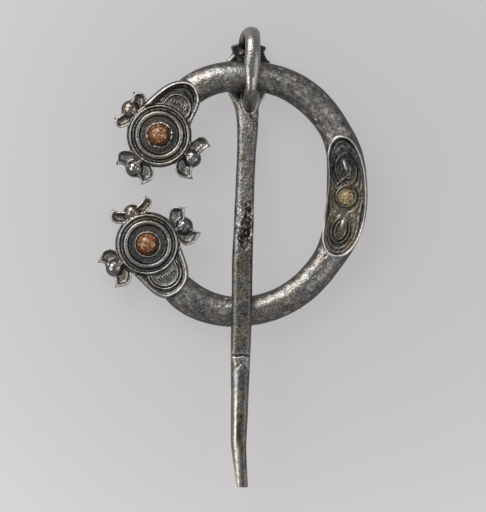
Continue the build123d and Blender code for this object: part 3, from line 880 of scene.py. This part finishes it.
def amber(looks):
    """Polished amber: clear resin with crazing inside."""
    # The polish gives one small highlight, and the crazing catches light as flecks in the depth
    material, tree = bare_material("Polished amber")
    place = put(tree, "ShaderNodeTexCoord")["Object"]
    # Crazing in amber of this size breaks it into cells of about half a millimetre, and the
    # depth of its colour changes over the same distance
    cells = put(tree, "ShaderNodeTexVoronoi", {"Vector": place, "Scale": 1 / (0.55 * MM)},
                feature="F1")["Distance"]
    cloud = put(tree, "ShaderNodeTexNoise", {"Vector": place, "Scale": 1 / (0.6 * MM),
                "Detail": 4.0, "Roughness": 0.7})["Fac"]
    body = put(tree, "ShaderNodeValToRGB", {"Fac": cloud}, stops=(
        (0.36, linear(looks.deep)), (0.48, linear(looks.body)), (0.55, linear(looks.body)),
        (0.62, linear(looks.fleck))))
    dark = put(tree, "ShaderNodeMapRange", {"Value": cells, "From Min": 0.1, "From Max": 0.7,
               "To Min": 1.2, "To Max": 0.5})["Result"]
    shaded = put(tree, "ShaderNodeMix", {0: 1.0, 6: body["Color"], 7: dark}, data_type="RGBA",
                 blend_type="MULTIPLY")[2]
    # Painted shade round the stud, where it meets its collar
    edge = put(tree, "ShaderNodeAttribute", attribute_name="edge")["Fac"]
    shaded_rim = put(tree, "ShaderNodeMix", {0: edge, 6: shaded, 7: linear(looks.deep)},
                  data_type="RGBA")[2]
    skin = put(tree, "ShaderNodeBsdfPrincipled", {"Base Color": shaded_rim, "Roughness": 0.24,
               "IOR": 1.54, "Subsurface Weight": 0.1, "Subsurface Scale": 0.5 * MM})
    put(tree, "ShaderNodeOutputMaterial", {"Surface": skin["BSDF"]})
    return material


def decayed_amber(looks):
    """Weathered amber: a dry, crumbling crust."""
    # The crust takes the shine away and leaves dull pale crumbs between dark cracks
    material, tree = bare_material("Decayed amber crust")
    place = put(tree, "ShaderNodeTexCoord")["Object"]
    # The crust has broken into crumbs of about 1.3 mm
    crust = put(tree, "ShaderNodeTexNoise", {"Vector": place, "Scale": 1 / (1.3 * MM),
                "Detail": 5.0, "Roughness": 0.7, "Distortion": 2.2})["Fac"]
    colour = put(tree, "ShaderNodeValToRGB", {"Fac": crust}, stops=(
        (0.41, linear("#2a1d10")), (0.50, linear(looks.decayed)), (0.60, linear("#c4ae84"))))
    # Painted shade round the crust's rim
    edge = put(tree, "ShaderNodeAttribute", attribute_name="edge")["Fac"]
    darker = put(tree, "ShaderNodeMix", {0: edge, 6: colour["Color"], 7: linear("#4a3a20")},
                 data_type="RGBA")[2]
    bump = put(tree, "ShaderNodeBump", {"Height": crust, "Strength": 0.6, "Distance": 0.2 * MM})
    skin = put(tree, "ShaderNodeBsdfPrincipled", {"Base Color": darker, "Roughness": 0.55,
               "IOR": 1.54, "Normal": bump["Normal"]})
    put(tree, "ShaderNodeOutputMaterial", {"Surface": skin["BSDF"]})
    return material


class BROOCH_OT_hoop(bpy.types.Operator):
    """Dresses the cast hoop, with its terminals and side panel"""

    bl_idname = "brooch.hoop"
    bl_label = "Cast hoop"

    def execute(self, context):
        sizes = context.scene.brooch_mesh
        piece = dense_copy("cast_hoop", "hoop", sizes.hoop_grid / MM)
        mesh = piece.data
        edges = edges_of(mesh)
        points = points_of(mesh, HOOP_WAYS, HOOP_PLACE)
        normals = normals_of(mesh, HOOP_WAYS)
        shine = np.zeros(len(points))
        for node, ragged in (("upper_stud", 0.7), ("lower_stud", 0.2)):
            flat, _ = from_stud(points, node)
            heads = TERMINALS[node][-1]
            hollow_ears(points, flat, heads, shine)
            carve_heads(points, normals, flat, heads)
            carve_tongue(points, normals, flat, node, shine)
            break_collar(points, node, ragged)
        carve_panel(points, normals, shine)
        points = softened(points, edges, 4, 0.5)
        normals = set_points(mesh, points, HOOP_WAYS, HOOP_PLACE, "hoop")
        swell = HOOP_SWELL * mottle(points, 2.6, 1, 2) + FINE_SWELL * mottle(points, 0.6, 5, 2)
        swell -= DENT_DEPTH * self.scratches(points)
        points = points + normals * swell[:, None]
        new_normals = set_points(mesh, points, HOOP_WAYS, HOOP_PLACE, "hoop")
        worn_marks(mesh, points, edges, new_normals, self.cleaned(points), self.dulled(points))
        self.patina(mesh, points)
        # The rims and pellets keep their painted highlight, broken in places
        broken = 0.45 + 0.55 * ramp(mottle(points, 0.8, 83, 2), -0.45, 0.1)
        # Small spots all over the plain bar, partly rubbed wear and partly painted sparkle
        spots = self.plain_bar(points) * ramp(mottle(points, 0.75, 85, 2), 0.22, 0.55)
        spots *= ramp(normals[:, 2], 0.3, 0.7)
        mark(mesh, "wear_and_highlight", np.maximum(shine * broken, 0.4 * spots))
        thin_out(piece, sizes.triangles)
        silver_skin = silver("Cast silver, tarnished", context.scene.brooch_silver, 1.0,
                             HOOP_PATCHES)
        dress(piece, silver_skin, "hoop", "hoop")
        return {"FINISHED"}

    def scratches(self, points):
        """Short dents that lie along the bar."""
        radius, angle = polar(points)
        along = np.column_stack((np.radians(angle) * BAR_RING / 3.2, radius / 1.2,
                                 points[:, 2] / 1.2))
        bar = ramp(points[:, 0], *BAR_START)
        return bar * ramp(mottle(along, 0.5, 71, 2), 0.42, 0.72)

    def plain_bar(self, points):
        """The bar between the terminals, without the side panel."""
        radius, angle = polar(points)
        panel = band(angle, -37, -34, 26, 29) * band(radius, 18.6, 19.4, 28.4, 29.0)
        return ramp(points[:, 0], *BAR_START) * (1 - panel)

    def cleaned(self, points):
        """Where less dirt is left in the hollows: on the ears, and round the discs."""
        clean = np.zeros(len(points))
        for node in TERMINALS:
            _, radius = from_stud(points, node)
            beyond = radius - DISC_RADIUS
            clean = np.maximum(clean, ramp(beyond, 0, 0.5) * (points[:, 2] < 1.9))
            clean = np.maximum(clean, 0.95 * (1 - ramp(beyond, -0.1, 0.1)))
        return 0.8 * clean * (points[:, 0] < -8.5)

    def dulled(self, points):
        """Where the proud places have kept their tarnish: the domes, the discs and the panel."""
        dome = 1 - ramp(from_domes(points), 1.3, 1.7)
        dull = 0.6 * dome * ramp(points[:, 2], 1.8, 2.0)
        for node in TERMINALS:
            _, radius = from_stud(points, node)
            disc = band(radius, 3.4, 3.6, DISC_RADIUS, DISC_RADIUS + 0.2)
            dull = np.maximum(dull, 0.45 * disc)
        radius, angle = polar(points)
        spot = np.full(len(points), 9.0)
        for turn, distance in PANEL_PELLETS:
            spot = np.minimum(spot, np.hypot(*(points[:, :2] - on_hoop(turn, distance)).T))
        field = band(angle, -33, -31, 25, 26) * band(radius, 20.6, 21.0, 27.0, 27.4)
        inner_rim = band(angle, -21, -17, 19, 23) * (1 - ramp(radius, 20.8, 21.2))
        outer_rim = band(angle, -20, -12, 25, 27) * ramp(radius, 27.2, 27.5)
        for amount in (0.6 * field * ramp(spot, 0.7, 1.0), 0.85 * inner_rim,
                       0.5 * outer_rim):
            dull = np.maximum(dull, amount)
        return dull

    def patina(self, mesh, points):
        """Marks the panel's dirt, the darker panel field, the painted shade in the dishes, the darker
        sunk upper tongue, the pits, the polish and the pale filling.
        """
        radius, angle = polar(points)
        sunk = 1 - ramp(points[:, 2], 2.3, 2.9)
        panel = band(radius, 19.4, 20.4, 27.8, 28.6) * band(angle, -35, -31, 2, 14)
        dapple = ramp(mottle(points, 1.4, 9, 3), -0.35, 0.5)
        mark(mesh, "clay", 0.85 * panel * sunk * dapple * (points[:, 2] > 0.8))
        # The panel field is darker in its sunk parts, and more so towards its upper end
        field = band(radius, 19.6, 20.4, 27.6, 28.2) * band(angle, -33, -31, 25, 27)
        grains = 0.6 + 0.4 * ramp(mottle(points, 0.6, 15, 2), -0.3, 0.3)
        soot_and_shade = field * sunk * (0.3 + 0.4 * ramp(angle, 2, 10)) * grains
        # The dishes round the amber studs get painted shade, darkest on their lower right, most so on the upper
        # stud
        for node, low_side in (("upper_stud", 1.0), ("lower_stud", 0.4)):
            flat, ring = from_stud(points, node)
            shade = 0.5 + 0.25 * low_side * np.clip((flat[:, 0] - flat[:, 1]) / 4, -1, 1)
            dish = band(ring, 2.9, 3.1, 4.1, 4.5) * (points[:, 2] > 0.5)
            soot_and_shade = np.maximum(soot_and_shade, dish * shade)
        # The sunk parts of the upper tongue are darkened
        flat, ring = from_stud(points, "upper_stud")
        along, across = turned(flat, TERMINALS["upper_stud"][0])
        tongue = ramp(along, 6.5, 8) * (np.abs(across) < 4.5) * (along < 13.2)
        soot_and_shade = np.maximum(soot_and_shade, 0.5 * tongue * (1 - ramp(points[:, 2], 1.9, 2.4)))
        pits = 0.5 * self.plain_bar(points) * ramp(mottle(points, 0.7, 87, 2), 0.15, 0.5)
        mark(mesh, "soot_and_shade", np.maximum(soot_and_shade * (points[:, 2] > 0.3), pits))
        polished = 1 - ramp(from_domes(points), 1.4, 1.9)
        mark(mesh, "sheen", polished * ramp(points[:, 2], 1.0, 1.4))
        crumbs = ramp(mottle(points, 0.9, 13, 2), -0.25, 0.15)
        paste = band(ring, 2.4, 2.6, 3.15, 3.35) * (points[:, 2] > 1.5)
        mark(mesh, "paste", 0.8 * paste * crumbs * ramp(flat[:, 1], -1.6, 0.4))


class BROOCH_OT_pin(bpy.types.Operator):
    """Dresses the pin, with its loop, head plate and mended shaft"""

    bl_idname = "brooch.pin"
    bl_label = "Pin"

    def execute(self, context):
        sizes = context.scene.brooch_mesh
        piece = dense_copy("silver_pin", "pin", sizes.pin_grid / MM)
        mesh = piece.data
        edges = edges_of(mesh)
        points = points_of(mesh, PIN_WAYS, PIN_PLACE)
        ease_bends(points)
        # The foot of the loop is blended into the shaft
        foot = band(points[:, 1], -12, -9, -7.5, -5)
        blended = softened(points, edges, 90)
        points = softened(points, edges, 10, 0.5)
        points += foot[:, None] * (blended - points)
        carve_pin(points, normals_of(mesh, PIN_WAYS))
        points = softened(points, edges, 2, 0.5)
        normals = set_points(mesh, points, PIN_WAYS, PIN_PLACE, "pin")
        swell = PIN_SWELL * mottle(points, 3.0, 21, 2) + FINE_SWELL * mottle(points, 0.6, 23, 2)
        points = points + normals * swell[:, None]
        worn_marks(mesh, points, edges, set_points(mesh, points, PIN_WAYS, PIN_PLACE, "pin"))
        self.patina(mesh, points, normals)
        thin_out(piece, sizes.triangles)
        silver_skin = silver("Hammered silver, worn", context.scene.brooch_silver, 0.35,
                             PIN_PATCHES)
        dress(piece, silver_skin, "pin", "pin")
        return {"FINISHED"}

    def patina(self, mesh, points, normals):
        """Marks where the pin is corroded, rubbed bare and sooty, where painted highlights lie, and
        where painted shade darkens it.
        """
        across, along, level = points.T
        down = -along
        eaten = corroded(points)
        dapple = ramp(mottle(points, 0.6, 27, 2), -0.5, 0.1)
        face = ramp(normals[:, 2], -0.4, 0.1)
        mark(mesh, "burnt", 0.92 * eaten * dapple * face)
        # Beside the corroded patch the bare metal shows as blobs along both edges
        edges = bell(across, 0.3, -1.05) + bell(across, 0.25, 1.75)
        blobs = ramp(mottle(points, 0.6, 29, 2), 0.1, 0.4)
        wear_and_highlight = edges * blobs * bell(down, 3.6, 32.5, 4) * (1 - eaten)
        facing = ramp(normals[:, 2], -0.1, 0.3)
        # The foot's raised edges and the streaks get painted highlights
        near = np.flatnonzero((along < 5.5) & (along > -9.5) & (level > -6))
        for line in FOOT_EDGES + PAINTED_GLINTS:
            distance = line_distance(points[near, :2], rounded_line(line))
            wear_and_highlight[near] += facing[near] * bell(distance, 0.17)
        # A painted highlight runs along the left edge from the lower crack to the tip
        left_highlight, wide = (np.interp(down, LEFT_EDGE_HIGHLIGHT[0], row) for row in LEFT_EDGE_HIGHLIGHT[1:])
        low = ramp(down, LOWER_CRACK, 65) * (0.8 + 0.2 * ramp(down, 80, 84))
        grains = 0.55 + 0.45 * ramp(mottle(points, 0.5, 35, 2), -0.4, 0.2)
        wear_and_highlight += low * grains * bell(across, wide, left_highlight) * (level > 0)
        mark(mesh, "wear_and_highlight", wear_and_highlight)
        # The low part of the head plate, behind the bar, gets painted shade, except for its crumbs
        plate = ramp(along, 2.6, 3.6) * (1 - ramp(level, -3.4, -2.6))
        crumbs = ramp(mottle(points, 0.5, 33, 2), 0.42, 0.62)
        pits = 0.55 * ramp(mottle(points, 0.6, 37, 2), 0.12, 0.5) * ramp(down, 6, 9)
        grit = 0.75 * rough_stretch(down) * ramp(mottle(points, 0.5, 39, 2), 0.0, 0.35)
        dark = np.maximum(0.85 * plate * (1 - crumbs), np.maximum(pits, grit))
        mark(mesh, "soot_and_shade", dark * (1 - np.clip(wear_and_highlight, 0, 1)))
        upper, middle = band(down, 10, 14, 28, 31), band(down, 36, 41, 60, 64)
        blotch = bell(np.hypot((across - 0.1) / 0.6, (down - 80.1) / 2.8), 1, power=4)
        right = ramp(across, -0.1, 0.9) * ramp(down, 64, 67)
        mark(mesh, "shade", 0.22 * upper + 0.5 * middle + 0.7 * blotch + 0.45 * right)
        front = ramp(along, -3.5, -2.5) * ramp(level, 0.0, 1.0)
        mark(mesh, "plain", 0.7 * front)
        mark(mesh, "sheen", 0.45 * front)


class BROOCH_OT_studs(bpy.types.Operator):
    """Dresses the three studs"""

    bl_idname = "brooch.studs"
    bl_label = "Studs"

    def execute(self, context):
        sizes = context.scene.brooch_mesh
        looks = context.scene.brooch_amber
        materials = {"amber": amber(looks), "decayed_amber": decayed_amber(looks)}
        for node, name, slot, lumps, shaded_rim in STUDS:
            piece = dense_copy(name, node, sizes.stud_grid / MM)
            mesh = piece.data
            points = softened(points_of(mesh, HOOP_WAYS, HOOP_PLACE), edges_of(mesh), 6, 0.5)
            normals = set_points(mesh, points, HOOP_WAYS, HOOP_PLACE, node)
            points = points + normals * (lumps * mottle(points, 0.9, 31, 3))[:, None]
            set_points(mesh, points, HOOP_WAYS, HOOP_PLACE, node)
            flat, radius = from_stud(points, node)
            # Painted shade, darker towards the rim and shifted to one side
            low_side = shaded_rim * (flat[:, 0] - flat[:, 1])
            mark(mesh, "edge", 0.8 * ramp((radius + low_side) / radius.max(), 0.35, 1.2))
            thin_out(piece, sizes.triangles)
            dress(piece, materials[slot], node, "hoop")
        return {"FINISHED"}


class BROOCH_OT_stage(bpy.types.Operator):
    """Lays the floor and sets up the lights and the camera"""

    bl_idname = "brooch.stage"
    bl_label = "Stage"

    def execute(self, context):
        stage = context.scene.brooch_stage
        self.floor(stage)
        middle = Vector((*PICTURE_MIDDLE, 0)) * MM
        for (name, direction, distance, size), power in zip(
                LIGHTS, (stage.key, stage.fill, stage.wash)):
            self.light(name, middle, direction, distance, size, power)
        world = bpy.data.worlds.new("Room")
        context.scene.world = world
        world.use_nodes = True
        background = world.node_tree.nodes["Background"].inputs
        background["Color"].default_value = (1, 1, 1, 1)
        background["Strength"].default_value = stage.room
        camera = bpy.data.objects.new("Camera", bpy.data.cameras.new("Camera"))
        context.scene.collection.objects.link(camera)
        camera.data.type = "ORTHO"
        camera.data.ortho_scale = stage.picture_height
        ways = [Vector(way) for way in HOOP_WAYS]
        camera.matrix_world = Matrix.Translation(
            ways[0] * middle.x + ways[1] * middle.y + ways[2] * CAMERA_DISTANCE
        ) @ Matrix([[*row, 0] for row in HOOP_WAYS] + [[0, 0, 0, 1]]).transposed()
        context.scene.camera = camera
        context.scene.view_settings.view_transform = "Standard"
        return {"FINISHED"}

    def floor(self, stage):
        """A pale board that glows, just under the lowest point."""
        low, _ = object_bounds()
        sheet = bmesh.new()
        bmesh.ops.create_grid(sheet, x_segments=1, y_segments=1, size=FLOOR_SIZE,
                              matrix=Matrix.Translation((0, 0, low.z - FLOOR_GAP)))
        mesh = bpy.data.meshes.new("Floor")
        sheet.to_mesh(mesh)
        sheet.free()
        board = bpy.data.objects.new("Floor", mesh)
        bpy.context.scene.collection.objects.link(board)
        material, tree = bare_material("Floor glowing as painted light")
        # The floor glows by itself as painted light, so it takes almost no shadow, and it glows a
        # little less in the middle
        place = put(tree, "ShaderNodeTexCoord")["Object"]
        away = put(tree, "ShaderNodeVectorMath", {0: place, 1: (16 * MM, 11 * MM, 0.0)},
                   operation="DISTANCE")["Value"]
        edge = put(tree, "ShaderNodeMapRange", {"Value": away, "From Min": 15 * MM,
                   "From Max": 105 * MM})["Result"]
        edge = put(tree, "ShaderNodeMath", {0: edge, 1: 2.0}, operation="POWER")[0]
        glow = put(tree, "ShaderNodeMapRange", {"Value": edge, "To Min": 0.79,
                   "To Max": 1.04})["Result"]
        skin = put(tree, "ShaderNodeBsdfPrincipled", {"Base Color": linear("#4b4a4b"),
                   "Roughness": 0.6, "Emission Color": linear(stage.floor),
                   "Emission Strength": glow})
        put(tree, "ShaderNodeOutputMaterial", {"Surface": skin["BSDF"]})
        mesh.materials.append(material)
        board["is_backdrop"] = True

    def light(self, name, middle, direction, distance, size, power):
        """A large square light that looks at the brooch from a direction."""
        lamp = bpy.data.lights.new(name, "AREA")
        lamp.size = size
        lamp.energy = power
        holder = bpy.data.objects.new(name, lamp)
        bpy.context.scene.collection.objects.link(holder)
        way = Vector(direction).normalized()
        holder.location = middle + way * distance
        holder.rotation_euler = way.to_track_quat("Z", "Y").to_euler()
        holder.visible_camera = False


class BROOCH_PT_parts(bpy.types.Panel):
    """The brooch's pieces and their settings, in the sidebar"""

    bl_label = "Brooch"
    bl_space_type = "VIEW_3D"
    bl_region_type = "UI"
    bl_category = "Brooch"

    def draw(self, context):
        for step in STEPS:
            self.layout.operator(step.bl_idname)
        for name in SETTINGS:
            group = getattr(context.scene, name)
            for prop in type(group).__annotations__:
                self.layout.prop(group, prop)


SETTINGS = {
    "brooch_silver": BroochSilver,
    "brooch_amber": BroochAmber,
    "brooch_mesh": BroochMesh,
    "brooch_stage": BroochStage,
}
STEPS = (BROOCH_OT_hoop, BROOCH_OT_pin, BROOCH_OT_studs, BROOCH_OT_stage)


def register():
    for cls in (*SETTINGS.values(), *STEPS, BROOCH_PT_parts):
        bpy.utils.register_class(cls)
    for name, cls in SETTINGS.items():
        setattr(bpy.types.Scene, name, bpy.props.PointerProperty(type=cls))


def unregister():
    for name in SETTINGS:
        delattr(bpy.types.Scene, name)
    for cls in reversed((*SETTINGS.values(), *STEPS, BROOCH_PT_parts)):
        bpy.utils.unregister_class(cls)


def main():
    """Dresses the brooch."""
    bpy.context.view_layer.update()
    register()
    bpy.ops.brooch.hoop()
    bpy.ops.brooch.pin()
    bpy.ops.brooch.studs()
    bpy.ops.brooch.stage()


if __name__ == "__main__":
    main()
